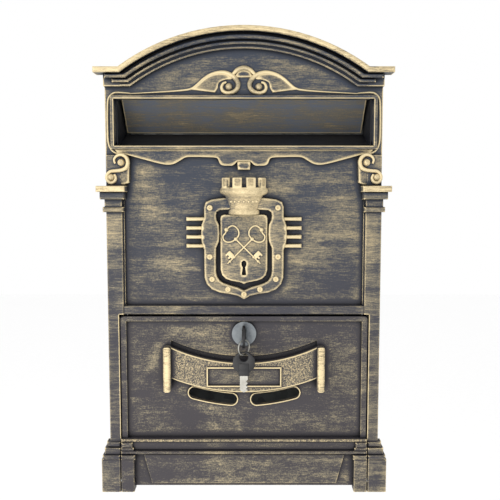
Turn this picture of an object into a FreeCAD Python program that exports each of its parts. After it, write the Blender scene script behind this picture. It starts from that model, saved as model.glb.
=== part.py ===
import FreeCAD, Part
import math
import os

# A cast wall mailbox: one arched front casting with a letter slot, a plate at the
# back, a drop-down door on two pins, a cam lock and its two keys.
# All sizes are worked out from the feet's underside (z), the middle (x) and the
# wall (y = 0, the front looks along -Y).  Placement then lowers every piece so
# that the origin is the centre of the four wall screws, on the wall.

doc = FreeCAD.newDocument("Mailbox")
sheet = doc.addObject("Spreadsheet::Sheet", "Dims")

DRIVING = [
    ("origin_height", 200, "wall screw centre above the feet"),
    ("half_width", 120, "middle to the outer side wall"),
    ("face_depth", 71, "wall to the sunk panel's face"),
    ("frame_depth", 74, "wall to the frame's face"),
    ("casting_wall", 3, "thickness of the casting"),
    ("arch_centre", 224.5, "height of the arch's centre"),
    ("arch_radius", 181, "arch of the shell behind the cornice"),
    ("shoulder", 366, "height where the arch springs"),
    ("floor_top", 7, "inside floor"),
    ("slot_half", 112, "half the letter slot's width"),
    ("slot_low", 307.6, "slot's lower edge"),
    ("slot_high", 347.8, "slot's upper edge"),
    ("door_half", 109.75, "half the door's width"),
    ("door_top", 158.4, "door's top edge"),
    ("door_back", 70, "wall to the door's inner face"),
    ("door_skin", 3, "thickness of the door's panel"),
    ("door_gap", 0.6, "gap round the door"),
    ("hinge_height", 10, "door pin above the feet's underside"),
    ("hinge_depth", 78, "wall to the door pin"),
    ("pin_radius", 2.5, "door pin"),
    ("pin_fit", 0.05, "radial clearance of every turning fit"),
    ("lock_height", 142.6, "lock above the feet's underside"),
    ("barrel_radius", 8, "threaded barrel of the lock"),
    ("barrel_length", 18, "barrel behind its flange"),
    ("flange_radius", 10.8, "lock's front flange"),
    ("plug_radius", 5.5, "turning plug"),
    ("cam_reach", 28, "lock centre to the cam's tip"),
    ("cam_thick", 2, "cam plate"),
    ("blade_thick", 2, "key blade"),
    ("bow_thick", 2.4, "plastic key bow"),
    ("bow_radius", 10, "round key bow"),
    ("bow_hole", 3.8, "hole for the ring"),
    ("ring_radius", 6.5, "split ring to its wire's centre"),
    ("wire_radius", 0.65, "split ring's wire"),
    ("plate_thick", 1.5, "steel back plate"),
    ("screw_x", 160, "wall screws apart, sideways"),
    ("screw_z", 180, "wall screws apart, up and down"),
    ("screw_hole", 3, "radius of a wall screw's hole"),
    ("rod_radius", 1.5, "flap rod"),
    ("rod_depth", 63, "wall to the flap rod"),
    ("rod_height", 352.5, "flap rod above the feet's underside"),
    ("flap_half", 108.4, "half the flap's width"),
    ("flap_length", 44, "rod to the flap's free edge"),
    ("flap_slope", 44.8, "flap below the level, at rest, in degrees"),
]
for row, (alias, value, meaning) in enumerate(DRIVING, start=1):
    sheet.set("A%d" % row, meaning)
    sheet.set("B%d" % row, str(value))
    sheet.setAlias("B%d" % row, alias)
doc.recompute()

X = FreeCAD.Vector(1, 0, 0)
Y = FreeCAD.Vector(0, 1, 0)
Z = FreeCAD.Vector(0, 0, 1)
ALONG_X = FreeCAD.Rotation(Y, 90)
ALONG_Y = FreeCAD.Rotation(X, 90)
SIDES = (-1, 1)
nodes = []


def size(alias):
    return float(sheet.get(alias))


def v(x, y, z):
    return FreeCAD.Vector(x, y, z)


def lower(item, label):
    """Label a finished sub-part and lower it to the shared origin."""
    item.Label = label
    item.setExpression("Placement.Base.z", "-Dims.origin_height")
    nodes.append(item)
    return item


def feature(label, shape):
    item = doc.addObject("Part::Feature", label)
    item.Shape = shape.removeSplitter()
    item.Placement = FreeCAD.Placement(v(0, 0, -size("origin_height")), FreeCAD.Rotation())
    item.Label = label
    nodes.append(item)
    return item


def block(x0, x1, y0, y1, z0, z1, round_front=0):
    """A box from low to high corner; round_front softens the edges of its front face."""
    shape = Part.makeBox(x1 - x0, y1 - y0, z1 - z0, v(x0, y0, z0))
    if round_front:
        edges = [e for e in shape.Edges if abs(e.BoundBox.YMax - y0) < 1e-6]
        shape = shape.makeFillet(round_front, edges)
    return shape


def prism(points, axis, low, high):
    """A straight-edged outline carried along X or Y from low to high."""
    if axis == "x":
        corners = [v(low, a, b) for a, b in points]
        travel = v(high - low, 0, 0)
    else:
        corners = [v(a, low, b) for a, b in points]
        travel = v(0, high - low, 0)
    return Part.Face(Part.makePolygon(corners + corners[:1])).extrude(travel)


def wire_face(pieces):
    edges = [piece.toShape() for piece in pieces]
    return Part.Face(Part.Wire(edges))


def arch_face(radius, shoulder, half, low, y):
    """The front's outline: a flat-bottomed panel with shoulders and a shallow arch."""
    zc = size("arch_centre")
    spring = math.sqrt(radius ** 2 - (shoulder - zc) ** 2)
    left, right, top = v(-spring, y, shoulder), v(spring, y, shoulder), v(0, y, zc + radius)
    return wire_face([
        Part.LineSegment(v(-half, y, low), v(-half, y, shoulder)),
        Part.LineSegment(v(-half, y, shoulder), left),
        Part.Arc(left, top, right),
        Part.LineSegment(right, v(half, y, shoulder)),
        Part.LineSegment(v(half, y, shoulder), v(half, y, low)),
        Part.LineSegment(v(half, y, low), v(-half, y, low))])


def band(outer, inner, top, bottom, end, y_back, y_front, soften):
    """One strip of the cornice: it runs level at each end and over the arch between."""
    zc = size("arch_centre")
    xo = math.sqrt(outer ** 2 - (top - zc) ** 2)
    xi = math.sqrt(inner ** 2 - (bottom - zc) ** 2)
    y = y_back
    face = wire_face([
        Part.LineSegment(v(-end, y, top), v(-xo, y, top)),
        Part.Arc(v(-xo, y, top), v(0, y, zc + outer), v(xo, y, top)),
        Part.LineSegment(v(xo, y, top), v(end, y, top)),
        Part.LineSegment(v(end, y, top), v(end, y, bottom)),
        Part.LineSegment(v(end, y, bottom), v(xi, y, bottom)),
        Part.Arc(v(xi, y, bottom), v(0, y, zc + inner), v(-xi, y, bottom)),
        Part.LineSegment(v(-xi, y, bottom), v(-end, y, bottom)),
        Part.LineSegment(v(-end, y, bottom), v(-end, y, top))])
    solid = face.extrude(v(0, y_front - y_back, 0))
    if soften:
        front = [e for e in solid.Edges if abs(e.BoundBox.YMax - y_front) < 1e-6]
        solid = solid.makeFillet(soften, front)
    return solid


def tube_x(radius, x0, x1, y, z):
    return Part.makeCylinder(radius, x1 - x0, v(x0, y, z), X)


def tube_y(radius, y0, y1, x, z):
    return Part.makeCylinder(radius, y1 - y0, v(x, y0, z), Y)


# ---------------------------------------------------------------- front casting

PILASTER_STEPS = [
    # inner x, outer x, front depth, low z, high z, softened edge
    (106.0, 120.0, 77.0, 44.0, 251.0, 0.8),      # shaft
    (104.5, 122.5, 80.5, 250.5, 255.0, 1.8),     # astragal
    (106.0, 121.0, 78.5, 254.5, 262.0, 0.6),     # neck
    (103.5, 124.5, 82.5, 261.5, 268.5, 1.6),     # bed of the abacus
    (102.0, 127.0, 86.0, 268.0, 273.2, 1.2),     # abacus
    (106.5, 119.5, 76.5, 273.0, 300.0, 0.8),     # strip above the capital
]
FOOT_STEPS = [
    (127.0, 82.0, 0.0, 30.3, 0.8),               # foot block
    (126.0, 83.0, 30.0, 34.2, 1.4),              # bead over the foot
    (124.4, 80.5, 34.0, 40.2, 0.8),
    (122.8, 79.0, 40.0, 45.2, 1.8),
]
CORNICE_BEADS = [
    # outer r, inner r, top z, bottom z, end x, front depth, softened edge
    (182.9, 178.4, 373.4, 368.6, 127.5, 88.0, 2.0),
    (176.4, 172.6, 368.2, 364.6, 118.6, 84.0, 1.7),
    (171.4, 168.6, 364.0, 361.2, 112.5, 81.0, 1.2),
    (167.6, 165.4, 360.6, 358.2, 106.5, 78.5, 0.9),
]
JAMB_FROM, JAMB_TO = 30.0, 150.0
LIP_HALF, LIP_LOW, LIP_HIGH, LIP_BACK = 18.0, 164.0, 170.0, 56.0
BOSS_X, BOSS_HEIGHTS, BOSS_RADIUS = 112.5, (16.0, 190.0, 352.0), 4.6
PILOT_RADIUS = 1.35
OPENING_TOP = 160.2
PANEL_HALF, PANEL_TOP, RAIL_TOP = 104.6, 300.0, 167.8


def front_shell():
    wall, half = size("casting_wall"), size("half_width")
    radius, shoulder = size("arch_radius"), size("shoulder")
    outer = arch_face(radius, shoulder, half, 3.0, 0).extrude(v(0, -size("face_depth"), 0))
    hollow = arch_face(radius - wall, shoulder - wall, half - wall, size("floor_top"), 1)
    hollow = hollow.extrude(v(0, -(size("face_depth") - wall) - 1, 0))
    return outer.cut(hollow)


def front_frame():
    """The raised frame round the sunk panel, between the rail and the letter slot."""
    y = -size("face_depth") + 1
    depth = size("frame_depth") - size("face_depth") + 1
    plate = arch_face(size("arch_radius"), size("shoulder"), size("half_width"), 3.0, y)
    plate = plate.extrude(v(0, -depth, 0))
    panel = block(-PANEL_HALF, PANEL_HALF, -90, 0, RAIL_TOP, PANEL_TOP)
    return plate.cut(panel)


def cornice():
    face = -size("face_depth")
    core = band(181.8, 165.4, 372.6, 358.2, 120.4, face, -78.0, 0)
    strips = [band(*bead[:5], face, -bead[5], bead[6]) for bead in CORNICE_BEADS]
    return [core] + strips


def slot_bead():
    half, low, high = size("slot_half"), size("slot_low"), size("slot_high")
    width = 3.0
    face = -size("face_depth")
    outer = block(-half - width, half + width, -78.2, face, low - width, high + width, 1.1)
    return outer.cut(block(-half, half, -90, 0, low, high))


def pilaster(side):
    gap_edge = size("door_half") + size("door_gap")
    solids = []
    for inner, outer, depth, low, high, soften in PILASTER_STEPS:
        x0, x1 = sorted((side * inner, side * outer))
        solids.append(block(x0, x1, -depth, -70.0, low, high, soften))
    for outer, depth, low, high, soften in FOOT_STEPS:
        x0, x1 = sorted((side * gap_edge, side * outer))
        back = -60.0 if low == 0 else -70.0
        solids.append(block(x0, x1, -depth, back, low, high, soften))
    x0, x1 = sorted((side * 107.0, side * 118.0))
    solids.append(block(x0, x1, -69.6, -66.6, JAMB_FROM, JAMB_TO))
    for height in BOSS_HEIGHTS:
        solids.append(tube_y(BOSS_RADIUS, -16.0, -size("plate_thick"), side * BOSS_X, height))
    return solids


def front_casting():
    rail = block(-106.5, 106.5, -76.5, -70.0, OPENING_TOP, RAIL_TOP, 1.2)
    lip = block(-LIP_HALF, LIP_HALF, -69.0, -LIP_BACK, LIP_LOW, LIP_HIGH)
    solids = [front_frame(), slot_bead(), rail, lip] + cornice()
    for side in SIDES:
        solids += pilaster(side)
    body = front_shell().fuse(solids)
    edge = size("door_half") + size("door_gap")
    body = body.cut(block(-edge, edge, -100, -66.6, -1, OPENING_TOP))
    body = body.cut(block(-107.0, 107.0, -100, -60.0, -1, OPENING_TOP))
    body = body.cut(block(-edge - 1, edge + 1, -69.0, -58.0, -1, JAMB_FROM - 1))
    half, low, high = size("slot_half"), size("slot_low"), size("slot_high")
    body = body.cut(block(-half, half, -100, -60.0, low, high))
    reach = size("pin_radius") + size("pin_fit")
    holes = [tube_x(reach, min(side * 100, side * 122), max(side * 100, side * 122),
                    -size("hinge_depth"), size("hinge_height")) for side in SIDES]
    for side in SIDES:
        for height in BOSS_HEIGHTS:
            holes.append(tube_y(PILOT_RADIUS, -14.0, 1.0, side * BOSS_X, height))
    return body.cut(holes)


# ------------------------------------------------------------------------- crest

SHIELD = dict(half=35.0, bulge=37.2, top=262.0, shoulder=186.0, tip=173.5)
BARS = dict(low=216.0, pitch=8.1, count=4, near=36.5, far=50.2, thick=3.2)
CROWN = dict(half_low=13.5, half_high=20.5, low=256.0, high=281.0)


def crest():
    """A shield with four bars at each side and a plain mural crown on top."""
    back = -size("face_depth")
    s = SHIELD
    left = v(-s["half"], back, s["top"])
    right = v(s["half"], back, s["top"])
    low_left = v(-s["half"], back, s["shoulder"] + 10)
    low_right = v(s["half"], back, s["shoulder"] + 10)
    middle = (s["top"] + s["shoulder"]) / 2
    tip = v(0, back, s["tip"])
    face = wire_face([
        Part.LineSegment(left, right),
        Part.Arc(right, v(s["bulge"], back, middle), low_right),
        Part.Arc(low_right, v(s["half"] * 0.62, back, s["shoulder"] - 6), tip),
        Part.Arc(tip, v(-s["half"] * 0.62, back, s["shoulder"] - 6), low_left),
        Part.Arc(low_left, v(-s["bulge"], back, middle), left)])
    body = face.extrude(v(0, -4.0, 0))
    c = CROWN
    crown = prism([(-c["half_low"], c["low"]), (-c["half_high"], c["high"]),
                   (c["half_high"], c["high"]), (c["half_low"], c["low"])], "y", -79.0, back)
    solids = [crown]
    for step in range(BARS["count"]):
        z = BARS["low"] + step * BARS["pitch"]
        for side in SIDES:
            x0, x1 = sorted((side * BARS["near"] * 0.9, side * BARS["far"]))
            solids.append(block(x0, x1, -75.0, back, z, z + BARS["thick"], 1.0))
    return body.fuse(solids)


# -------------------------------------------------------------------------- door

DOOR_STEPS = [
    # half width, front depth, low z, high z, softened edge
    (109.75, 80.0, 45.3, 48.0, 1.2),      # bead under the panel
    (109.75, 78.0, 36.8, 45.6, 1.5),      # ogee band
    (109.75, 82.0, 34.9, 37.6, 1.2),      # bead over the plinth
]
INNER_FOOT_STEPS = [
    (98.2, 82.0, 0.0, 30.3, 0.8),
    (97.2, 83.0, 30.0, 34.2, 1.4),
    (98.4, 80.5, 34.0, 40.2, 0.8),
    (99.4, 81.0, 40.0, 45.2, 1.8),
]
RIBBON_TOP = ((-65.0, 131.4), (0.0, 117.2), (65.0, 131.4))
RIBBON_LOW = ((-65.0, 103.6), (0.0, 91.0), (65.0, 103.6))
NAME_FRAME = dict(half=33.2, low=95.9, high=113.9, border=1.3)
RIBBON_BAR = dict(near=64.2, far=71.2, low=92.4, high=132.4)
VIEW_SLOT = dict(near=11.4, near_z=82.9, far=44.4, far_z=88.8, sag=0.8, radius=5.2, rim=0.9)


def finger_hollow():
    """A shallow hollow above the ribbon's upper edge, where the fingers take hold."""
    y = -size("door_back") - 1.2
    upper = [v(x, y, z + 4.8) for x, z in RIBBON_TOP]
    under = [v(x, y, z - 1.0) for x, z in RIBBON_TOP]
    return wire_face([
        Part.Arc(*upper),
        Part.LineSegment(upper[2], under[2]),
        Part.Arc(under[2], under[1], under[0]),
        Part.LineSegment(under[0], upper[0])]).extrude(v(0, -6.0, 0))


def ribbon():
    y = -size("door_back") - 1
    corners = [[v(x, y, z) for x, z in line] for line in (RIBBON_TOP, RIBBON_LOW)]
    upper, under = corners
    face = wire_face([
        Part.Arc(*upper),
        Part.LineSegment(upper[2], under[2]),
        Part.Arc(under[2], under[1], under[0]),
        Part.LineSegment(under[0], upper[0])])
    banner = face.extrude(v(0, -80.0 - y, 0))
    edges = [e for e in banner.Edges if abs(e.BoundBox.YMax + 80.0) < 1e-6]
    banner = banner.makeFillet(1.0, edges)
    n, b = NAME_FRAME, RIBBON_BAR
    frame = block(-n["half"], n["half"], -81.2, -79.0, n["low"], n["high"], 0.5)
    solids = [frame]
    for side in SIDES:
        x0, x1 = sorted((side * b["near"], side * b["far"]))
        bar = block(x0, x1, -86.0, -71.0, b["low"], b["high"])
        long_edges = [e for e in bar.Edges if e.Length > 10 and e.BoundBox.YMin < -85]
        solids.append(bar.makeFillet(2.6, long_edges))
    inner = n["half"] - n["border"]
    name = block(-inner, inner, -90.0, -79.2, n["low"] + n["border"], n["high"] - n["border"])
    return banner.fuse(solids).cut(name)


def view_slot(side, radius, y0, y1):
    """A round-ended slot that follows the ribbon's curve; radius is half its width."""
    s = VIEW_SLOT
    middle = ((s["near"] + s["far"]) / 2, (s["near_z"] + s["far_z"]) / 2 - s["sag"])
    line = [(s["near"], s["near_z"]), middle, (s["far"], s["far_z"])]
    stops = [v(side * x, y0, z) for x, z in line]
    centre = Part.Arc(*stops).toShape().Curve.Center
    away = [(stop - centre).normalize() * radius for stop in stops]
    under = [stop + out for stop, out in zip(stops, away)]
    over = [stop - out for stop, out in zip(stops, away)]
    near_cap = stops[0] + Y.cross(away[0]) * side
    far_cap = stops[2] - Y.cross(away[2]) * side
    return wire_face([
        Part.Arc(*under),
        Part.Arc(under[2], far_cap, over[2]),
        Part.Arc(over[2], over[1], over[0]),
        Part.Arc(over[0], near_cap, under[0])]).extrude(v(0, y1 - y0, 0))


def round_top(shape):
    """Round the two upper corners of a panel."""
    top = shape.BoundBox.ZMax
    corners = [e for e in shape.Edges if e.BoundBox.ZMin > top - 1 and e.BoundBox.YLength > 1]
    return shape.makeFillet(3.0, corners)


def door_casting():
    half, top, back = size("door_half"), size("door_top"), size("door_back")
    skin = size("door_skin")
    slab = round_top(block(-half, half, -back - skin, -back, 3.0, top)).cut(finger_hollow())
    rim = round_top(block(-half, half, -76.0, -back - 1, 40.0, top))
    rim = rim.makeFillet(0.8, [e for e in rim.Edges if abs(e.BoundBox.YMax + 76.0) < 1e-6])
    rim = rim.cut(block(-104.3, 104.3, -90, 0, 47.8, 154.0))
    plinth = block(-half, half, -75.5, -back - 1, 3.6, 35.4, 0.6)
    raised = prism([(-89.7, 33.4), (89.7, 33.4), (82.6, 7.0), (-82.6, 7.0)], "y", -78.5, -72.0)
    solids = [rim, plinth, raised, ribbon()]
    for wide, depth, low, high, soften in DOOR_STEPS:
        solids.append(block(-wide, wide, -depth, -back - 1, low, high, soften))
    for inner, depth, low, high, soften in INNER_FOOT_STEPS:
        for side in SIDES:
            x0, x1 = sorted((side * inner, side * half))
            solids.append(block(x0, x1, -depth, -back, low, high, soften))
    for side in SIDES:
        solids.append(view_slot(side, VIEW_SLOT["radius"] + VIEW_SLOT["rim"], -74.4, -72.0))
    body = slab.fuse(solids)
    cuts = [view_slot(side, VIEW_SLOT["radius"], -90, -60) for side in SIDES]
    cuts.append(tube_y(size("barrel_radius") + 0.2, -90, -60, 0, size("lock_height")))
    reach = size("pin_radius") + size("pin_fit")
    cuts.append(tube_x(reach, -130, -98, -size("hinge_depth"), size("hinge_height")))
    cuts.append(tube_x(reach, 98, 130, -size("hinge_depth"), size("hinge_height")))
    return body.cut(cuts)


# ---------------------------------------------------------- letter slot's inside

CHUTE_SHEET, CHUTE_FRONT, CHUTE_BACK = 1.0, 67.8, 29.0
SILL_FRONT_Z, SILL_BACK_Z = 305.8, 320.0
CHEEK_TOP, CHEEK_BACK = 358.0, 336.0


def slot_chute():
    """Folded sheet behind the slot: a sill that slopes up to the rear and two cheeks."""
    edge = size("slot_half") - 0.6
    front, back = -CHUTE_FRONT, -CHUTE_BACK
    sill = prism([(front, SILL_FRONT_Z), (back, SILL_BACK_Z),
                  (back, SILL_BACK_Z + CHUTE_SHEET), (front, SILL_FRONT_Z + CHUTE_SHEET)],
                 "x", -edge, edge)
    solids = []
    for side in SIDES:
        x0, x1 = sorted((side * edge, side * (edge - CHUTE_SHEET)))
        solids.append(prism([(front, SILL_FRONT_Z), (front, CHEEK_TOP), (-56.0, CHEEK_TOP),
                             (back, CHEEK_BACK), (back, SILL_BACK_Z)], "x", x0, x1))
        x0, x1 = sorted((side * (edge - 0.5), side * (edge + 4.4)))
        solids.append(block(x0, x1, front, front + CHUTE_SHEET, 312.0, CHEEK_TOP))
    body = sill.fuse(solids)
    hole = tube_x(size("rod_radius") + 0.02, -130, 130, -size("rod_depth"), size("rod_height"))
    return body.cut(hole)


def slot_flap():
    """A steel flap with its top edge rolled round the rod."""
    y, z = -size("rod_depth"), size("rod_height")
    half = size("flap_half")
    roll = tube_x(size("rod_radius") + 1.25, -half, half, y, z)
    leaf = block(-half, half, y, y + size("flap_length"), z + 1.25, z + 2.75)
    stiffener = block(-half + 4, half - 4, y + 30.0, y + 33.0, z + 1.75, z + 4.4)
    body = roll.fuse([leaf, stiffener])
    body = body.cut(tube_x(size("rod_radius") + size("pin_fit"), -half - 1, half + 1, y, z))
    body.rotate(v(0, y, z), X, -size("flap_slope"))
    return body


def back_plate():
    wall, fit = size("casting_wall"), 0.4
    face = arch_face(size("arch_radius") - wall - fit, size("shoulder") - wall - fit,
                     size("half_width") - wall - fit, size("floor_top") + fit, 0)
    body = face.extrude(v(0, -size("plate_thick"), 0))
    centre = size("origin_height")
    holes = []
    for side in SIDES:
        for rise in SIDES:
            holes.append(tube_y(size("screw_hole"), -5, 5, side * size("screw_x") / 2,
                                centre + rise * size("screw_z") / 2))
        for height in BOSS_HEIGHTS:
            start = v(side * BOSS_X, -size("plate_thick"), height)
            seat = Part.makeCone(1.6, 3.1, size("plate_thick"), start, Y)
            holes.append(seat)
    return body.cut(holes)


def plate_screws():
    screws = []
    for side in SIDES:
        for height in BOSS_HEIGHTS:
            start = v(side * BOSS_X, -size("plate_thick"), height)
            head = Part.makeCone(1.3, 2.9, size("plate_thick") - 0.1, start, Y)
            shank = Part.makeCylinder(1.3, 9.0, start + v(0, -9.0, 0), Y)
            screws.append(head.fuse(shank).cut(slot_in(start)))
    return Part.makeCompound(screws)


def slot_in(start):
    """The cross in a countersunk head, cut from its outer face."""
    top = size("plate_thick") - 0.1
    bar = Part.makeBox(3.4, 0.8, 0.7, start + v(-1.7, top - 0.8, -0.35))
    other = Part.makeBox(0.7, 0.8, 3.4, start + v(-0.35, top - 0.8, -1.7))
    return bar.fuse(other)


feature("front_casting", front_casting())
feature("crest", crest())
feature("door_casting", door_casting())
feature("slot_chute", slot_chute())
feature("slot_flap", slot_flap())
feature("back_plate", back_plate())
feature("back_plate_screws", plate_screws())


# ------------------------------------------------ turned pieces, pins and the lock

def primitive(kind, name, turn, place, **bound):
    """A Part primitive that follows the sheet: place gives x, y and z formulas."""
    item = doc.addObject("Part::" + kind, name)
    item.Placement = FreeCAD.Placement(v(0, 0, 0), turn)
    for axis, formula in zip("xyz", place):
        item.setExpression("Placement.Base." + axis, formula)
    for prop, formula in bound.items():
        item.setExpression(prop, formula)
    return item


def combine(kind, name, **links):
    item = doc.addObject("Part::" + kind, name)
    for prop, value in links.items():
        setattr(item, prop, value)
    return item


def union(name, shapes):
    return combine("MultiFuse", name, Shapes=shapes)


def cut(name, base, tool):
    return combine("Cut", name, Base=base, Tool=tool)


def cylinder_y(name, radius, length, y_front, x="0", z="Dims.lock_height"):
    """A cylinder along Y, from y_front back towards the wall."""
    return primitive("Cylinder", name, ALONG_Y, (x, "%s + %s" % (y_front, length), z),
                     Radius=radius, Height=length)


def hinge_pin(side, label):
    """A plain steel pin driven through the foot into the door's inner foot."""
    start = "100.5" if side > 0 else "-121.5"
    pin = primitive("Cylinder", label + "_shaft", ALONG_X,
                    (start, "-Dims.hinge_depth", "Dims.hinge_height"),
                    Radius="Dims.pin_radius", Height="21")
    lower(union(label, [pin, tip_of(side, label)]), label)


def tip_of(side, label):
    """The pin's slightly swollen outer end, which keeps it in the foot."""
    start = "120.3" if side > 0 else "-121.5"
    return primitive("Cylinder", label + "_end", ALONG_X,
                     (start, "-Dims.hinge_depth", "Dims.hinge_height"),
                     Radius="Dims.pin_radius + Dims.pin_fit", Height="1.2")


hinge_pin(-1, "hinge_pin_left")
hinge_pin(1, "hinge_pin_right")

rod = primitive("Cylinder", "rod_shaft", ALONG_X,
                ("-Dims.slot_half - 2.4", "-Dims.rod_depth", "Dims.rod_height - Dims.origin_height"),
                Radius="Dims.rod_radius", Height="2 * Dims.slot_half + 4.8")
rod.Label = "flap_rod"
nodes.append(rod)


def rod_clip(side, name):
    start = "Dims.slot_half - 0.4" if side > 0 else "-Dims.slot_half - 0.4"
    place = (start, "-Dims.rod_depth", "Dims.rod_height")
    disc = primitive("Cylinder", name + "_disc", ALONG_X, place,
                     Radius="Dims.rod_radius + 1.8", Height="0.8")
    hole = primitive("Cylinder", name + "_hole", ALONG_X, place,
                     Radius="Dims.rod_radius + 0.01", Height="0.8")
    return cut(name, disc, hole)


clips = combine("Compound", "rod_clips", Links=[rod_clip(side, "rod_clip_%d" % n)
                                                 for n, side in enumerate(SIDES)])
lower(clips, "rod_clips")

# The lock: a flanged barrel through the door, nut and washer behind, a plug that
# turns in it, and the cam screwed to the plug's end.
FLANGE_FRONT = "-Dims.door_back - Dims.door_skin - 2.5"
DOOR_FRONT = "-Dims.door_back - Dims.door_skin"
BARREL_END = DOOR_FRONT + " + Dims.barrel_length"

flange = cylinder_y("barrel_flange", "Dims.flange_radius", "2.5", FLANGE_FRONT)
barrel_tube = cylinder_y("barrel_tube", "Dims.barrel_radius", "Dims.barrel_length", DOOR_FRONT)
barrel_bore = cylinder_y("barrel_bore", "Dims.plug_radius + Dims.pin_fit",
                         "Dims.barrel_length + 6", FLANGE_FRONT + " - 1")
barrel = cut("barrel_cut", union("barrel_solid", [flange, barrel_tube]), barrel_bore)
lower(barrel, "lock_barrel")

washer_disc = cylinder_y("washer_disc", "12", "1", "-Dims.door_back")
washer_hole = cylinder_y("washer_hole", "Dims.barrel_radius + 0.1", "1", "-Dims.door_back")
lower(cut("washer_cut", washer_disc, washer_hole), "lock_washer")

keyway = primitive("Box", "keyway", FreeCAD.Rotation(),
                   ("-Dims.blade_thick / 2 - 0.2", FLANGE_FRONT + " - 1", "Dims.lock_height - 3.8"),
                   Length="Dims.blade_thick + 0.4", Width="19", Height="7.6")
plug_round = cylinder_y("plug_round", "Dims.plug_radius", "Dims.barrel_length + 2.3",
                        FLANGE_FRONT + " - 0.3")
plug_nose = cylinder_y("plug_nose", "3.4", "2.65", BARREL_END + " - 0.6")
lower(cut("plug_cut", union("plug_solid", [plug_round, plug_nose]), keyway), "lock_plug")

screw_head = cylinder_y("cam_screw_head", "4.2", "2.4", BARREL_END + " + 2.05")
screw_slot = primitive("Box", "cam_screw_slot", FreeCAD.Rotation(),
                       ("-0.5", BARREL_END + " + 3.6", "Dims.lock_height - 5"),
                       Length="1", Width="2", Height="10")
lower(cut("cam_screw_cut", screw_head, screw_slot), "cam_screw")


def body_on(plane_role, name):
    """A PartDesign body with a sketch on one of its own origin planes."""
    body = doc.addObject("PartDesign::Body", name)
    sketch = body.newObject("Sketcher::SketchObject", name + "_sketch")
    plane = [f for f in body.Origin.OriginFeatures if f.Role == plane_role][0]
    sketch.AttachmentSupport = (plane, "")
    sketch.MapMode = "FlatFace"
    return body, sketch


def pad(body, sketch, name, length):
    item = body.newObject("PartDesign::Pad", name)
    item.Profile = sketch
    item.setExpression("Length", length)
    body.Tip = item
    return item


def circle(radius, x=0, y=0):
    return Part.Circle(v(x, y, 0), Z, radius)


def polygon(sketch, points):
    for here, there in zip(points, points[1:] + points[:1]):
        sketch.addGeometry(Part.LineSegment(v(*here, 0), v(*there, 0)), False)


def stand(body, label, y):
    """Put a body drawn on the XZ plane at its depth and at the lock's height."""
    body.Label = label
    body.setExpression("Placement.Base.y", y)
    body.setExpression("Placement.Base.z", "Dims.lock_height - Dims.origin_height")
    nodes.append(body)


def lock_nut():
    body, sketch = body_on("XZ_Plane", "nut_body")
    across = 10.8
    corners = [(across * math.cos(math.radians(60 * n)), across * math.sin(math.radians(60 * n)))
               for n in range(6)]
    polygon(sketch, corners)
    sketch.addGeometry(circle(size("barrel_radius") + 0.05), False)
    pad(body, sketch, "nut_pad", "4")
    stand(body, "lock_nut", "-Dims.door_back + 5")


def lock_cam():
    """At rest the cam lies level, which is unlocked; a quarter turn lifts it behind the lip."""
    body, sketch = body_on("XZ_Plane", "cam_body")
    reach, half = size("cam_reach"), 7.0
    arc = Part.ArcOfCircle(circle(half), math.radians(90), math.radians(270))
    sketch.addGeometry(arc, False)
    run = [(0, -half), (reach, -half + 1), (reach, half - 1), (0, half)]
    for here, there in zip(run, run[1:]):
        sketch.addGeometry(Part.LineSegment(v(*here, 0), v(*there, 0)), False)
    sketch.addGeometry(circle(3.45), False)
    pad(body, sketch, "cam_pad", "Dims.cam_thick")
    stand(body, "lock_cam", BARREL_END + " + 2.05")


lock_nut()
lock_cam()

# ------------------------------------------------------------------ keys and ring

BOW_CENTRE = 11.0          # key shoulder to the bow's centre
HOLE_OFFSET = 5.0          # bow's centre to the ring hole's centre
SHOULDER_DEPTH = 78.0      # wall to the shoulder of the key in the lock
BLADE_HALF = 3.4
LOCK_BLADE, SPARE_BLADE = 19.0, 16.0
RING_GAP = 2.0             # ring wire's centre to the hole's edge


def key_blade(length):
    """Blade drawn pointing to +u with its bitting cut as shallow notches."""
    notch, pitch, depth = 1.6, 3.2, 1.3
    line = [(-6.0, -BLADE_HALF), (length - 2, -BLADE_HALF), (length, 0)]
    reach = length - 2
    line.append((reach, BLADE_HALF))
    while reach > 4 + pitch:
        line.append((reach - notch / 2, BLADE_HALF - depth))
        line.append((reach - notch, BLADE_HALF - depth))
        line.append((reach - pitch + 0.2, BLADE_HALF))
        reach -= pitch
    line.append((-6.0, BLADE_HALF))
    thick = size("blade_thick")
    corners = [v(a, b, -thick / 2) for a, b in line]
    return Part.Face(Part.makePolygon(corners + corners[:1])).extrude(v(0, 0, thick))


def key_bow():
    """A round plastic bow on the blade's tail, with the ring's hole near its far end."""
    thick, radius = size("bow_thick"), size("bow_radius")
    disc = Part.makeCylinder(radius, thick, v(-BOW_CENTRE + 1, 0, -thick / 2))
    collar = Part.makeBox(8.0, 9.0, thick + 1.4, v(-6.5, -4.5, -thick / 2 - 0.7))
    hole = Part.makeCylinder(size("bow_hole"), thick + 2,
                             v(-BOW_CENTRE - HOLE_OFFSET + 1, 0, -thick / 2 - 1))
    return disc.fuse(collar).cut([hole, key_blade(LOCK_BLADE)])


def set_key(shape, label, columns, place):
    """Stand a key piece up: columns give where its own three axes point."""
    turn = FreeCAD.Rotation(*columns, "XYZ")
    item = doc.addObject("Part::Feature", label)
    item.Shape = shape
    item.Placement = FreeCAD.Placement(place - v(0, 0, size("origin_height")), turn)
    item.Label = label
    nodes.append(item)


hole_reach = BOW_CENTRE + HOLE_OFFSET - 1
lock_place = v(0, -SHOULDER_DEPTH, size("lock_height"))
in_lock = (Y, Z, X)
set_key(key_blade(LOCK_BLADE), "key_blade", in_lock, lock_place)
set_key(key_bow(), "key_bow", in_lock, lock_place)

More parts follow.
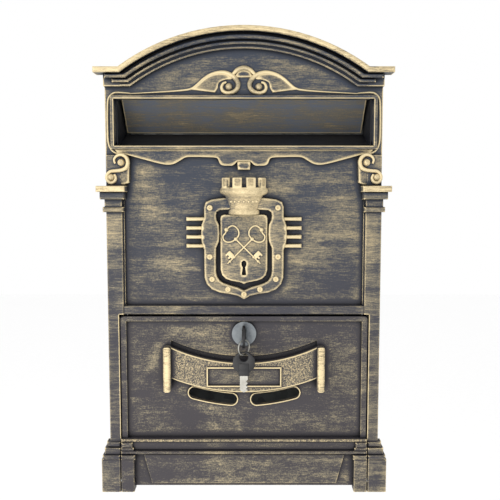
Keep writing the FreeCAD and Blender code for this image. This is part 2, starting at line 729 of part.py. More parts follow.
ring_top = size("lock_height") - size("bow_hole") + RING_GAP
ring_centre = ring_top - size("ring_radius")
ring_depth = SHOULDER_DEPTH + hole_reach
ring = primitive("Torus", "split_ring", FreeCAD.Rotation(Z, 45) * ALONG_Y,
                 ("0", str(-ring_depth), str(ring_centre) + " - Dims.origin_height"),
                 Radius1="Dims.ring_radius", Radius2="Dims.wire_radius")
ring.Label = "key_ring"
nodes.append(ring)

spare_hole = ring_centre - size("ring_radius") - size("bow_hole") + RING_GAP
spare_place = v(0, -ring_depth, spare_hole - hole_reach)
hanging = (-Z, X, -Y)
set_key(key_blade(SPARE_BLADE), "spare_key_blade", hanging, spare_place)
set_key(key_bow(), "spare_key_bow", hanging, spare_place)

# --------------------------------------------------------------- check and write

doc.recompute()
for item in doc.Objects:
    if "Invalid" in item.State or "Error" in item.State:
        raise RuntimeError("%s failed: %s" % (item.Name, item.State))
os.makedirs("parts", exist_ok=True)
for item in nodes:
    shape = item.Shape
    if shape.isNull() or not shape.isValid() or not shape.Solids:
        raise RuntimeError("%s has no valid solid" % item.Label)
    shape.exportStep(os.path.join("parts", item.Label + ".step"))
    print("%-20s solids %d  volume %9.1f mm3" % (item.Label, len(shape.Solids), shape.Volume))
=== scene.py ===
"""A cast wall mailbox with an arched cornice, a letter slot, a drop-down door and a cam lock."""
import math

import bmesh
import bpy
from mathutils import Matrix, Vector


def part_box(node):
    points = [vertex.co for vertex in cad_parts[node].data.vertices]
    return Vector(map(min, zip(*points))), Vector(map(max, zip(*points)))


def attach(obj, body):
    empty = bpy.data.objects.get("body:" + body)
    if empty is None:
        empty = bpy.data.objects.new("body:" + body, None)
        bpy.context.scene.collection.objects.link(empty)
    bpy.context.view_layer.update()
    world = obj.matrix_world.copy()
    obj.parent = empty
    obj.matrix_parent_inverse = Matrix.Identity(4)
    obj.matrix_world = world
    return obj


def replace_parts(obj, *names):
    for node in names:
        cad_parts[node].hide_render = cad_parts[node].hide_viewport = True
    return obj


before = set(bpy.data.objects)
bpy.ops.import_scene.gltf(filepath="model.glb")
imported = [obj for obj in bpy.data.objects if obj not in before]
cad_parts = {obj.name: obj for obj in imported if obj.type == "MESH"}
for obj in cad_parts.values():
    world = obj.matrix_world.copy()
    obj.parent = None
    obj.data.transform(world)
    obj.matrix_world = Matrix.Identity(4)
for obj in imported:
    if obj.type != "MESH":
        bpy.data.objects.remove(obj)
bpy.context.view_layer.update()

# ---------------------------------------------------------------- the studio
# A pale floor well below the box and even white surroundings. The main soft light
# is in front, low and to the left; a weaker one is at the left, above the box.

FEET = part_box("front_casting")[0].z


def mm(length):
    return length / 1000


def at(x, depth, z):
    """A point from millimetres: x from the middle, depth from the wall, z above the feet."""
    return Vector((mm(x), -mm(depth), FEET + mm(z)))


def tone(code):
    """An sRGB hex colour as the linear colour that a shader takes."""
    parts = [int(code[i:i + 2], 16) / 255 for i in (1, 3, 5)]
    linear = [p / 12.92 if p <= 0.04045 else ((p + 0.055) / 1.055) ** 2.4 for p in parts]
    return (*linear, 1.0)


def node(tree, kind, inputs=None, **settings):
    """Add a node, set its properties, and give each input a value or a link."""
    made = tree.nodes.new(kind)
    for key, value in settings.items():
        setattr(made, key, value)
    for socket, value in (inputs or {}).items():
        if isinstance(value, bpy.types.NodeSocket):
            tree.links.new(value, made.inputs[socket])
        else:
            made.inputs[socket].default_value = value
    return made


def new_material(name):
    material = bpy.data.materials.new(name)
    material.use_nodes = True
    material.node_tree.nodes.clear()
    return material, material.node_tree


def finish_material(tree, **inputs):
    """Close a material with a Principled shader; underscores in names stand for spaces."""
    named = {key.replace("_", " "): value for key, value in inputs.items()}
    shader = node(tree, "ShaderNodeBsdfPrincipled", named)
    node(tree, "ShaderNodeOutputMaterial", {"Surface": shader.outputs["BSDF"]})


def mesh_object(name, bm):
    """Turn a finished bmesh into an object that stands in the scene."""
    mesh = bpy.data.meshes.new(name)
    bm.to_mesh(mesh)
    bm.free()
    made = bpy.data.objects.new(name, mesh)
    bpy.context.scene.collection.objects.link(made)
    return made


def floor_finish():
    """Matt white paper, with a trace of tooth."""
    material, tree = new_material("white_paper_floor")
    place = node(tree, "ShaderNodeTexCoord").outputs["Object"]
    tooth = node(tree, "ShaderNodeTexNoise", {"Vector": place, "Scale": 60.0, "Detail": 3.0})
    shade = node(tree, "ShaderNodeMix", {"Factor": tooth.outputs[0], "A": tone("#fafafa"),
                                         "B": tone("#ffffff")}, data_type="RGBA")
    finish_material(tree, Base_Color=shade.outputs["Result"], Roughness=0.85)
    return material


FLOOR_HALF, FLOOR_DROP = 4.0, 0.45

bm = bmesh.new()
bmesh.ops.create_grid(bm, x_segments=2, y_segments=2, size=FLOOR_HALF)
bmesh.ops.translate(bm, vec=Vector((0, 0, FEET - FLOOR_DROP)), verts=bm.verts)
floor = mesh_object("floor", bm)
floor.data.materials.append(floor_finish())

world = bpy.data.worlds.new("studio")
bpy.context.scene.world = world
world.use_nodes = True
world.node_tree.nodes.clear()
glow = node(world.node_tree, "ShaderNodeBackground", {"Color": tone("#ffffff"), "Strength": 1.0})
node(world.node_tree, "ShaderNodeOutputWorld", {"Surface": glow.outputs[0]})


def soft_light(name, place, aim, across, energy, colour):
    """A square area light of that width, turned to face the aim."""
    lamp = bpy.data.lights.new(name, "AREA")
    lamp.size = across
    lamp.energy = energy
    lamp.color = tone(colour)[:3]
    holder = bpy.data.objects.new(name, lamp)
    holder.location = place
    holder.rotation_euler = (Vector(aim) - Vector(place)).to_track_quat("-Z", "Y").to_euler()
    bpy.context.scene.collection.objects.link(holder)


MIDDLE = at(0, 74, 210)
FRONT_LIGHT_FROM = Vector((-0.5, -1.5, -0.35))
LEFT_LIGHT_FROM = Vector((-1.4, -0.7, 0.5))
soft_light("front_light", MIDDLE + FRONT_LIGHT_FROM, MIDDLE, across=0.9, energy=9.0,
           colour="#fffaf2")
soft_light("left_light", MIDDLE + LEFT_LIGHT_FROM, MIDDLE, across=0.7, energy=6.0,
           colour="#ffffff")

# The camera looks slightly down on a point a little right of the box's middle.
LENS, SENSOR, TILT, REACH = 48.8, 36.0, math.radians(5.0), 0.596
camera = bpy.data.objects.new("camera", bpy.data.cameras.new("camera"))
camera.data.lens = LENS
camera.data.sensor_width = SENSOR
camera.data.clip_start = 0.01
look = at(5.3, 74, 217.1)
camera.location = look + REACH * Vector((0, -math.cos(TILT), math.sin(TILT)))
camera.rotation_euler = (math.pi / 2 - TILT, 0, 0)
bpy.context.scene.collection.objects.link(camera)
bpy.context.scene.camera = camera
bpy.context.scene.view_settings.view_transform = "Standard"

# ----------------------------------------------------- front casting and door
# Sand-cast aluminium, painted dark slate and then dry-brushed: a nearly dry brush
# of old gold is dragged sideways, so gold stays on edges, beads and high patches
# and the corners behind them keep the dark paint. The deepest corners are darkened
# further to near black: painted shade.

# The first colour, near black, is painted shade for the deepest corners, not a paint.
PAINTED_SHADE_DEEP, PAINT_BLUE, PAINT_SLATE, PAINT_WARM = "#080a11", "#3a404c", "#3b3c44", "#413e42"
GOLD_THIN, GOLD_FULL, GOLD_EDGE = "#7e7766", "#c2af89", "#e9d6aa"
STROKES_PULL, PATCHES_PULL, DOTS_PULL = 0.6, 0.95, 1.9    # weights beside the bristles' 1
PAINT_BLUE_ABOVE, PAINT_WARM_BELOW = 130, -120    # mm from the frame's origin


def dry_brushed(name, cover, stroke, speckle, edge, edge_mm, raised, hollow, warm,
                paint=PAINT_BLUE, corner_mm=7.0, quiet_mm=(), dotted_mm=0.0):
    """cover: how much gold; stroke: a stroke's length and width in mm; speckle: fine dots;
    edge, raised and hollow: the pull of edges, of height and of corners; edge_mm and
    corner_mm: how far those reach; warm: brown in the paint, 0 to 1; quiet_mm: depths at
    which edges hold little gold; dotted_mm: depth of a flat that is stippled."""
    material, tree = new_material(name)
    place = node(tree, "ShaderNodeTexCoord").outputs["Object"]

    def noise(vector, size_mm, detail, rough=0.55, distortion=0.0):
        return node(tree, "ShaderNodeTexNoise", {
            "Vector": vector, "Scale": 1000 / size_mm, "Detail": detail,
            "Roughness": rough, "Distortion": distortion}).outputs[0]

    def blend_in(amount, factor, base):
        return node(tree, "ShaderNodeMath", {0: amount, 1: factor, 2: base},
                    operation="MULTIPLY_ADD").outputs[0]

    def span(value, low, high, to_low=0.0, to_high=1.0):
        return node(tree, "ShaderNodeMapRange", {
            "Value": value, "From Min": low, "From Max": high, "To Min": to_low,
            "To Max": to_high}, interpolation_type="SMOOTHSTEP").outputs[0]

    long, wide = stroke
    drag = node(tree, "ShaderNodeMapping", {
        "Vector": place, "Rotation": (0, math.radians(12), 0),
        "Scale": (wide / long, 0.6, 1.0)}).outputs[0]
    bristles = noise(drag, wide, 6.0, 0.7, 0.7)
    strokes = noise(drag, wide * 9, 3.0, 0.5, 0.8)
    patches = noise(place, 70, 4.0, 0.55, 1.2)
    grit = noise(place, 1.1, 3.0, 0.6)

    rim = node(tree, "ShaderNodeAmbientOcclusion", {"Distance": mm(edge_mm)}, samples=12,
               inside=True, only_local=True).outputs["AO"]
    corner = node(tree, "ShaderNodeAmbientOcclusion", {"Distance": mm(corner_mm)},
                  samples=12).outputs["AO"]
    spot = node(tree, "ShaderNodeSeparateXYZ", {0: place})
    depth, height = spot.outputs["Y"], spot.outputs["Z"]
    edge_mask = span(rim, 0.93, 0.55)

    def far_from(flat_mm, near, far, least=0.0):
        """0 (or least) on the flat at that depth, 1 away from it."""
        away = node(tree, "ShaderNodeMath", {0: depth, 1: mm(flat_mm)}, operation="ADD")
        away = node(tree, "ShaderNodeMath", {0: away.outputs[0]}, operation="ABSOLUTE")
        return span(away.outputs[0], mm(near), mm(far), least, 1.0)

    for flat in quiet_mm:
        edge_mask = node(tree, "ShaderNodeMath", {
            0: edge_mask, 1: far_from(flat, 0.5, 0.9, 0.25)}, operation="MULTIPLY").outputs[0]
    open_mask = span(corner, 0.45, 0.97)
    shut = node(tree, "ShaderNodeMath", {0: 1.0, 1: open_mask}, operation="SUBTRACT").outputs[0]
    high = node(tree, "ShaderNodeMath", {0: span(depth, -mm(83.4), -mm(86.5)),
                                         1: span(bristles, 0.3, 0.7, 0.5, 1.0)},
                operation="MULTIPLY").outputs[0]
    stroked = far_from(dotted_mm, 0.3, 0.7)

    drive = blend_in(strokes, STROKES_PULL, bristles)
    drive = blend_in(patches, PATCHES_PULL, drive)
    drive = blend_in(grit, speckle, drive)
    mean = 0.5 * (1 + STROKES_PULL + PATCHES_PULL + speckle)
    dots = blend_in(grit, DOTS_PULL, mean - DOTS_PULL / 2 + 0.16)
    drive = node(tree, "ShaderNodeMix", {"Factor": stroked, 2: dots, 3: drive}).outputs[0]
    drive = blend_in(edge_mask, edge, drive)
    drive = blend_in(high, raised, drive)
    drive = blend_in(shut, -hollow, drive)
    level = mean + 0.22 - cover * 0.3
    gold = span(drive, level - 0.14, level + 0.2, 0.0, 0.9)
    rich = span(drive, level + 0.05, level + 0.75)

    browner = span(height, mm(PAINT_BLUE_ABOVE), mm(PAINT_WARM_BELOW), 0.0, warm)
    tint = node(tree, "ShaderNodeMix", {"Factor": browner, "A": tone(paint),
                                        "B": tone(PAINT_WARM)},
                data_type="RGBA").outputs["Result"]
    # Painted shade: where the corner occlusion is strong, the paint is mixed towards near black.
    base = node(tree, "ShaderNodeMix", {"Factor": span(corner, 0.35, 0.9),
                                         "A": tone(PAINTED_SHADE_DEEP), "B": tint},
                 data_type="RGBA").outputs["Result"]
    leaf = node(tree, "ShaderNodeValToRGB", {"Fac": rich})
    leaf.color_ramp.elements[0].color = tone(GOLD_THIN)
    leaf.color_ramp.elements[1].color = tone(GOLD_EDGE)
    leaf.color_ramp.elements.new(0.5).color = tone(GOLD_FULL)
    colour = node(tree, "ShaderNodeMix", {"Factor": gold, "A": base,
                                          "B": leaf.outputs["Color"]},
                  data_type="RGBA").outputs["Result"]

    relief = blend_in(gold, 0.35, grit)
    relief = blend_in(bristles, 0.5, relief)
    soft = node(tree, "ShaderNodeBevel", {"Radius": mm(0.5)}, samples=4).outputs[0]
    bump = node(tree, "ShaderNodeBump", {"Height": relief, "Normal": soft, "Strength": 0.35,
                                         "Distance": mm(0.25)}).outputs[0]
    finish_material(tree, Base_Color=colour, Normal=bump,
                    Metallic=span(gold, 0.0, 1.0, 0.0, 0.3),
                    Roughness=span(gold, 0.0, 1.0, 0.55, 0.45), Specular_IOR_Level=0.25)
    return material


def dress(material, *names):
    """Give CAD nodes their finish."""
    for name in names:
        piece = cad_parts[name]
        piece.data.materials.clear()
        piece.data.materials.append(material)


housing_finish = dry_brushed("dry_brushed_cast_housing", cover=0.76, stroke=(9, 0.85),
                             speckle=0.5, edge=0.95, edge_mm=1.4, raised=0.7, hollow=1.3,
                             warm=0.85)
door_finish = dry_brushed("dry_brushed_cast_door", cover=0.66, stroke=(6, 0.8),
                          speckle=0.75, edge=0.9, edge_mm=1.3, raised=0.9, hollow=1.2,
                          warm=1.0, paint=PAINT_SLATE, quiet_mm=(73.0, 76.0, 78.5),
                          dotted_mm=80.0)
# The flap's paint is lighter than the housing's: painted light, for the light that reaches the
# flap inside the slot. Its short corner reach keeps the painted corner shade off it.
flap_finish_painted_light = dry_brushed("dry_brushed_flap_painted_light", cover=0.72, stroke=(14, 0.9), speckle=0.6,
                          edge=1.4, edge_mm=1.5, raised=0.0, hollow=0.1, warm=0.1,
                          paint="#626a78", corner_mm=1.5)
relief_finish = dry_brushed("dry_brushed_relief", cover=0.95, stroke=(5, 0.8), speckle=0.5,
                            edge=1.0, edge_mm=3.0, raised=0.5, hollow=0.4, warm=0.4)
crown_finish = dry_brushed("gold_rubbed_relief", cover=1.95, stroke=(4, 0.8), speckle=0.5,
                           edge=0.8, edge_mm=2.0, raised=0.2, hollow=1.1, warm=0.2)
dress(housing_finish, "front_casting")
dress(flap_finish_painted_light, "slot_flap")
dress(door_finish, "door_casting")

# --------------------------------------------------- scrollwork over the slot
# Low relief cast in one with the front: a line that rises to two facing volutes
# with a small arched shell between them.


SHARP_ANGLE = 42    # degrees; a sharper fold shows as an edge


def flow(points, steps=6):
    """More points on a smooth line through the given ones; a radius is carried along."""
    line = []
    last = len(points) - 1
    for i in range(last):
        before, here = points[max(i - 1, 0)], points[i]
        there, after = points[i + 1], points[min(i + 2, last)]
        for k in range(steps):
            t = k / steps
            line.append(tuple(0.5 * (2 * b + (c - a) * t + (2 * a - 5 * b + 4 * c - d) * t ** 2
                                     + (3 * b - a - 3 * c + d) * t ** 3)
                              for a, b, c, d in zip(before, here, there, after)))
    return line + [tuple(points[last])]


def as_drawn(points):
    return points


def flipped(points):
    return [(-p[0], *p[1:]) for p in points]


BOTH_SIDES = (as_drawn, flipped)


def both(half):
    """A closed outline from its left half, which runs from the top middle to the foot."""
    return half + flipped(half[-2:0:-1])


def add_bead(bm, path, depth, steps=6):
    """A round bead along (x, z, radius) points, half sunk in the face at that depth."""
    curve = bpy.data.curves.new("bead", "CURVE")
    curve.dimensions = "3D"
    curve.bevel_depth = 0.001
    curve.bevel_resolution = 4
    curve.use_fill_caps = True
    line = flow(path, steps)
    spline = curve.splines.new("POLY")
    spline.points.add(len(line) - 1)
    for point, (x, z, radius) in zip(spline.points, line):
        point.co = (*at(x, depth, z), 1)
        point.radius = radius
    holder = bpy.data.objects.new("bead", curve)
    tube = bpy.data.meshes.new_from_object(holder)
    bm.from_mesh(tube)
    bpy.data.objects.remove(holder)
    bpy.data.curves.remove(curve)
    bpy.data.meshes.remove(tube)


def add_plate(bm, outline, back, front, soften):
    """A flat raised piece with that outline and a softened front edge."""
    corners = [bm.verts.new(at(x, back, z)) for x, z in outline]
    face = bm.faces.new(corners)
    made = bmesh.ops.extrude_face_region(bm, geom=[face])
    fresh = [v for v in made["geom"] if isinstance(v, bmesh.types.BMVert)]
    bmesh.ops.translate(bm, vec=Vector((0, -mm(front - back), 0)), verts=fresh)
    top = [f for f in made["geom"] if isinstance(f, bmesh.types.BMFace)]
    if soften:
        bmesh.ops.bevel(bm, geom=list(top[0].edges), offset=mm(soften), segments=3,
                        profile=0.5, affect="EDGES", material=-1, clamp_overlap=True)


def add_dome(bm, x, z, radius, depth, height):
    """A rounded boss that is half sunk in the face at that depth."""
    squash = Matrix.Diagonal((mm(radius), mm(height), mm(radius), 1))
    bmesh.ops.create_uvsphere(bm, u_segments=20, v_segments=12, radius=1.0,
                              matrix=Matrix.Translation(at(x, depth, z)) @ squash)


def make(name, bm, material, body):
    """Finish a new piece: outward normals, its material, and the body that it rides on."""
    bmesh.ops.remove_doubles(bm, verts=bm.verts, dist=1e-6)
    bmesh.ops.recalc_face_normals(bm, faces=bm.faces)
    piece = mesh_object(name, bm)
    mesh = piece.data
    mesh.polygons.foreach_set("use_smooth", [True] * len(mesh.polygons))
    mesh.set_sharp_from_angle(angle=math.radians(SHARP_ANGLE))
    mesh.materials.append(material)
    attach(piece, body)
    return piece


# FACE is the front of the raised frame; plates set on it start BEHIND_FACE and those
# set on the sunk panel start BEHIND_PANEL, so that no gap shows under them.
FACE, BEHIND_FACE, BEHIND_PANEL = 74.0, 71.3, 70.5
VOLUTE = [(-98.0, 352.4, 0.4), (-68.0, 354.0, 0.6), (-50.8, 355.4, 0.8), (-44.8, 356.8, 0.9),
          (-40.4, 359.8, 1.0), (-35.3, 364.3, 1.1), (-29.2, 368.1, 1.3), (-22.3, 370.2, 1.5),
          (-15.5, 369.9, 1.8), (-8.8, 366.6, 2.1), (-5.2, 361.3, 2.2), (-5.8, 356.6, 2.0),
          (-9.2, 353.8, 1.9), (-13.8, 352.9, 1.7), (-17.8, 354.4, 1.5), (-19.2, 357.6, 1.3),
          (-17.8, 360.9, 1.1), (-15.0, 362.0, 0.9)]
LEAF = [(-46.0, 355.8), (-40.4, 359.4), (-35.3, 363.9), (-29.2, 367.7), (-22.3, 369.8),
        (-15.5, 369.4), (-10.0, 365.0), (-16.0, 364.0), (-21.5, 361.5), (-22.5, 357.0),
        (-25.0, 353.2)]
VOLUTE_EYE = [(-12.9, 358.2)]
SHELL = [(-9.6, 368.6, 1.3), (-5.4, 372.4, 1.9), (0.0, 374.0, 2.2), (5.4, 372.4, 1.9),
         (9.6, 368.6, 1.3)]
SHELL_FILL = [(-8.0, 366.0), (-5.0, 370.6), (0.0, 372.2), (5.0, 370.6), (8.0, 366.0)]

bm = bmesh.new()
for turn in BOTH_SIDES:
    add_bead(bm, turn(VOLUTE), FACE + 0.3)
    add_plate(bm, turn(flow(LEAF, 3)), BEHIND_FACE, FACE + 1.0, 0.5)
    for x, z in turn(VOLUTE_EYE):
        add_dome(bm, x, z, 3.1, FACE, 3.4)
add_bead(bm, SHELL, FACE + 0.4)
add_plate(bm, flow(SHELL_FILL, 4), BEHIND_FACE, FACE + 0.8, 0.4)
make("volute_relief", bm, relief_finish, "housing")

# ------------------------------------------------------- border round the slot
# A thin ridge frames the slot's sides and runs on below it as a wavy apron that
# drops to a small keystone in the middle.

SIDE_RIDGE = [(-98.0, 352.7, 0.5), (-109.5, 353.4, 0.7), (-114.0, 351.8, 0.8),
              (-117.0, 347.5, 0.8), (-117.8, 338.4, 0.8), (-118.0, 326.0, 0.8),
              (-117.8, 314.0, 0.8), (-116.8, 308.0, 0.8), (-114.0, 303.4, 0.8),
              (-109.5, 301.2, 0.8), (-104.1, 300.9, 0.7)]
APRON = [(-104.1, 300.9), (-99.0, 299.7), (-90.3, 297.3), (-81.7, 295.0), (-73.0, 292.8),
         (-66.1, 291.8), (-60.8, 292.6), (-55.6, 295.4), (-50.4, 298.2), (-42.5, 298.6),
         (-33.9, 298.4), (-25.2, 298.0), (-22.2, 296.6), (-20.4, 292.6), (-18.0, 291.2),
         (-13.0, 291.0), (-9.6, 291.3), (-6.4, 294.2)]
KEYSTONE = [(-5.6, 294.0), (-5.6, 290.6), (-5.2, 287.2), (5.2, 287.2), (5.6, 290.6),
            (5.6, 294.0)]
APRON_CORNER = [(-112.5, 304.8), (-109.5, 301.6)]
APRON_LIP_RISE, APRON_LIP_RADIUS = 0.3, 0.55

bm = bmesh.new()
for turn in BOTH_SIDES:
    add_bead(bm, turn(SIDE_RIDGE), FACE)
    lip = [(x, z + APRON_LIP_RISE, APRON_LIP_RADIUS) for x, z in APRON]
    add_bead(bm, turn(lip), FACE + 0.4)
half = APRON_CORNER + flow(APRON, 3)
add_plate(bm, half + flipped(half[::-1]), BEHIND_PANEL, FACE + 0.5, 0.4)
add_plate(bm, KEYSTONE, BEHIND_PANEL, FACE + 1.8, 0.7)
make("slot_border_relief", bm, relief_finish, "housing")

# ------------------------------------------------------- edging of the ribbon
# The handle ribbon's two long edges stand up as thin lips, which catch most of the
# gold. Each follows an arc that is lowest in the middle.

LIP_HALF, LIP_RADIUS = 64.4, 0.62
RIBBON_LIPS = ((116.6, 14.0, 79.7), (91.6, 12.4, 79.6))    # lowest z, rise, depth


def ribbon_lip(low, rise, steps=16):
    """(x, z, radius) points on the arc from the middle's height up to both ends."""
    bend = (LIP_HALF ** 2 + rise ** 2) / (2 * rise)
    line = [LIP_HALF * (2 * k / steps - 1) for k in range(steps + 1)]
    return [(x, low + bend - math.sqrt(bend ** 2 - x ** 2), LIP_RADIUS) for x in line]


bm = bmesh.new()
for low, rise, depth in RIBBON_LIPS:
    add_bead(bm, ribbon_lip(low, rise), depth, steps=3)
make("ribbon_lips", bm, crown_finish, "door")

# ------------------------------------------------------ scrolls on the capitals
# A small S-scroll stands on each capital, with a raised boss in each of its two
# curls and a plate behind it that fills the corner of the panel.

SCROLL = [(-111.4, 292.4, 0.9), (-112.2, 296.0, 1.0), (-109.6, 299.2, 1.2),
          (-105.5, 300.0, 1.4), (-101.7, 297.6, 1.6), (-100.4, 293.0, 1.7),
          (-102.0, 288.8, 1.7), (-106.0, 286.8, 1.6), (-111.0, 286.2, 1.5),
          (-115.6, 285.6, 1.4), (-118.6, 282.6, 1.3), (-118.6, 278.6, 1.3),
          (-115.8, 275.9, 1.4), (-112.4, 276.9, 1.4), (-111.0, 280.0, 1.2),
          (-112.2, 283.2, 1.0)]
BACKING = [(-112.0, 296.0), (-109.0, 300.4), (-105.4, 301.4), (-101.0, 298.8), (-99.2, 294.0),
           (-99.6, 288.0), (-99.9, 276.0), (-104.0, 274.4), (-112.0, 274.4)]
CURL_BOSSES = [(-106.6, 293.4, 2.9), (-115.2, 280.6, 3.1)]
SCROLL_DEPTH, BACKING_FRONT = 77.2, 76.0

bm = bmesh.new()
for turn in BOTH_SIDES:
    add_bead(bm, turn(SCROLL), SCROLL_DEPTH)
    add_plate(bm, turn(BACKING), BEHIND_PANEL, BACKING_FRONT, 0.5)
    for x, z, radius in turn(CURL_BOSSES):
        add_dome(bm, x, z, radius, BACKING_FRONT + 0.4, 3.0)
make("capital_scrolls", bm, relief_finish, "housing")

# ----------------------------------------------------------------- the crest
# A small shield in a riveted frame, with bars at the sides and a plain battlement
# crown. Two crossed keys stand on the shield and a keyhole goes through it.

FRAME_OUT = [(0.0, 263.4), (-17.5, 262.9), (-28.0, 261.4), (-33.2, 259.2), (-34.7, 255.0),
             (-34.7, 245.4), (-37.0, 239.3), (-37.5, 231.5), (-37.0, 224.2), (-34.8, 217.3),
             (-34.8, 205.0), (-34.6, 193.0), (-32.6, 187.0), (-28.3, 182.6), (-21.2, 179.6),
             (-12.4, 178.4), (-5.5, 176.8), (0.0, 173.8)]
FRAME_IN = [(0.0, 252.8), (-14.0, 252.6), (-21.0, 252.2), (-23.8, 250.6), (-24.5, 247.4),
            (-24.0, 243.6), (-21.9, 239.4), (-21.4, 231.5), (-21.9, 225.0), (-24.4, 219.0),
            (-24.6, 208.0), (-24.6, 197.8), (-23.6, 193.4), (-21.0, 189.8), (-17.5, 187.8),
            (-13.4, 186.4), (-6.2, 184.3), (0.0, 181.4)]
SHIELD = [(0.0, 248.2), (-17.6, 248.2), (-19.9, 247.2), (-20.7, 244.6), (-20.7, 222.0),
          (-20.6, 199.5), (-19.2, 194.8), (-15.9, 191.6), (-11.5, 190.0), (-7.1, 189.2),
          (-3.0, 188.3), (0.0, 187.0)]
BAR_HEIGHTS = (244.3, 236.4, 228.6, 220.7)
BAR_TIP, BAR_ROOT, BAR_TIP_HALF, BAR_ROOT_HALF, BAR_FRONT = -50.6, -34.0, 1.7, 1.5, 74.6
FRAME_RIVETS = [(-29.7, 254.2), (-29.9, 211.3), (-28.0, 191.6), (-14.1, 182.6), (0.0, 178.2)]
RIVET = [(2.5, 0.0), (2.5, 0.7), (2.0, 1.25), (1.1, 1.25), (0.8, 0.5), (0.0, 0.4)]
FRAME_TOP, SHIELD_TOP = 77.0, 75.2


def add_ring(bm, outer, inner, back, front, soften):
    """A frame between two outlines that have the same number of points."""
    loops = []
    for outline in (outer, inner):
        corners = [bm.verts.new(at(x, back, z)) for x, z in outline]
        loops += [bm.edges.new(pair) for pair in zip(corners, corners[1:] + corners[:1])]
    faces = bmesh.ops.bridge_loops(bm, edges=loops)["faces"]
    made = bmesh.ops.extrude_face_region(bm, geom=faces)
    fresh = [v for v in made["geom"] if isinstance(v, bmesh.types.BMVert)]
    bmesh.ops.translate(bm, vec=Vector((0, -mm(front - back), 0)), verts=fresh)
    top = {f for f in made["geom"] if isinstance(f, bmesh.types.BMFace)}
    rims = [e for f in top for e in f.edges if sum(g in top for g in e.link_faces) == 1]
    bmesh.ops.bevel(bm, geom=list(set(rims)), offset=mm(soften), segments=3, profile=0.5,
                    affect="EDGES", material=-1, clamp_overlap=True)


def add_turned(bm, profile, x, z, depth, steps=20):
    """A small turned shape from (radius, height) points, its axis straight out of the face."""
    corners = [bm.verts.new(at(x + r, depth + out, z)) for r, out in profile]
    edges = [bm.edges.new(pair) for pair in zip(corners, corners[1:])]
    bmesh.ops.spin(bm, geom=corners + edges, cent=at(x, depth, z), axis=Vector((0, 1, 0)),
                   angle=2 * math.pi, steps=steps, use_merge=True)


bm = bmesh.new()
add_ring(bm, both(FRAME_OUT), both(FRAME_IN), BEHIND_PANEL, FRAME_TOP, 0.9)
for turn in BOTH_SIDES:
    for x, z in turn(FRAME_RIVETS):
        add_turned(bm, RIVET, x, z, FRAME_TOP - 0.1)
    for height in BAR_HEIGHTS:
        bar = [(BAR_TIP, height - BAR_TIP_HALF), (BAR_ROOT, height - BAR_ROOT_HALF),
               (BAR_ROOT, height + BAR_ROOT_HALF), (BAR_TIP, height + BAR_TIP_HALF)]
        add_plate(bm, turn(bar), BEHIND_PANEL, BAR_FRONT, 1.2)
crest = make("crest_frame", bm, relief_finish, "housing")
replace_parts(crest, "crest")

# The keyhole is cut right through the shield's plate.
KEYHOLE = [(-1.3, 194.8), (-2.0, 195.4), (-1.1, 201.8), (-2.2, 203.8), (-2.2, 206.2),
           (-1.0, 207.8), (1.0, 207.8), (2.2, 206.2), (2.2, 203.8), (1.1, 201.8),
           (2.0, 195.4), (1.3, 194.8)]
bm = bmesh.new()
add_plate(bm, both(SHIELD), BEHIND_PANEL, SHIELD_TOP, 0.7)
shield = make("crest_shield", bm, relief_finish, "housing")
bm = bmesh.new()
add_plate(bm, KEYHOLE, BEHIND_PANEL - 1.0, SHIELD_TOP + 2.0, 0)
bmesh.ops.recalc_face_normals(bm, faces=bm.faces)
cutter = mesh_object("keyhole_cutter", bm)
hole = shield.modifiers.new("keyhole", "BOOLEAN")
hole.operation = "DIFFERENCE"
hole.solver = "EXACT"
hole.object = cutter
cleared = bpy.data.meshes.new_from_object(shield.evaluated_get(
    bpy.context.evaluated_depsgraph_get()))
shield.modifiers.clear()
shield.data = cleared
bpy.data.objects.remove(cutter)

# Two crossed keys in thin round relief, each a looped bow, a shaft with knobs and a bit.
BOW = [(-7.2, 226.8), (-4.6, 230.2), (-4.9, 234.6), (-8.0, 238.0), (-11.6, 238.2),
       (-15.0, 235.2), (-16.2, 232.2), (-18.3, 229.4), (-17.6, 226.0), (-14.6, 224.2),
       (-10.6, 224.6), (-7.2, 226.8)]
BIT = [(-8.4, 212.6), (-12.6, 216.8), (-16.6, 212.8), (-15.4, 211.6), (-14.2, 212.8),
       (-13.0, 211.6), (-14.4, 210.2), (-13.2, 209.0), (-11.8, 210.4), (-10.6, 209.2)]
SHAFT = [(-7.2, 226.8, 0.75), (3.0, 216.6, 0.72), (14.4, 205.2, 0.62)]
KNOBS = [(-7.2, 226.8, 1.7), (-15.4, 235.0, 1.9), (8.6, 211.0, 1.3), (12.4, 207.2, 1.3)]
BOW_WIRE = 0.72

bm = bmesh.new()
for turn in BOTH_SIDES:
    add_bead(bm, turn([(x, z, BOW_WIRE) for x, z in BOW]), SHIELD_TOP + 0.3)
    add_bead(bm, turn(SHAFT), SHIELD_TOP + 0.3)
    add_plate(bm, flipped(turn(BIT)), SHIELD_TOP - 0.3, SHIELD_TOP + 0.9, 0.3)
    for x, z, radius in turn(KNOBS):
        add_dome(bm, x, z, radius, SHIELD_TOP + 0.2, radius * 0.9)
make("crest_keys", bm, crown_finish, "housing")

# The crown is half a turned ring, flattened against the panel, with four merlons and
# a row of studs.
CROWN = [(12.9, 248.3), (13.6, 249.0), (13.7, 251.8), (12.8, 253.0), (13.2, 254.6),
         (14.8, 259.6), (17.2, 264.8), (20.4, 266.4), (21.2, 268.4), (20.7, 270.6),
         (19.4, 271.8), (15.6, 271.8), (15.2, 266.0), (0.0, 266.0)]
CROWN_AXIS, FLATTEN = 74.5, 0.52
MERLON_CENTRES = (-62.0, -17.5, 19.0, 62.5)
MERLON_SPAN, MERLON_IN, MERLON_OUT = 24.0, 15.8, 19.9
MERLON_LOW, MERLON_HIGH, MERLON_EDGE = 271.2, 280.2, 0.6
STUD_HEIGHT, STUD_SIDE, STUD_OUT, STUD_RADIUS, STUD_STEP = 259.6, 14.9, 15.2, 1.0, 16


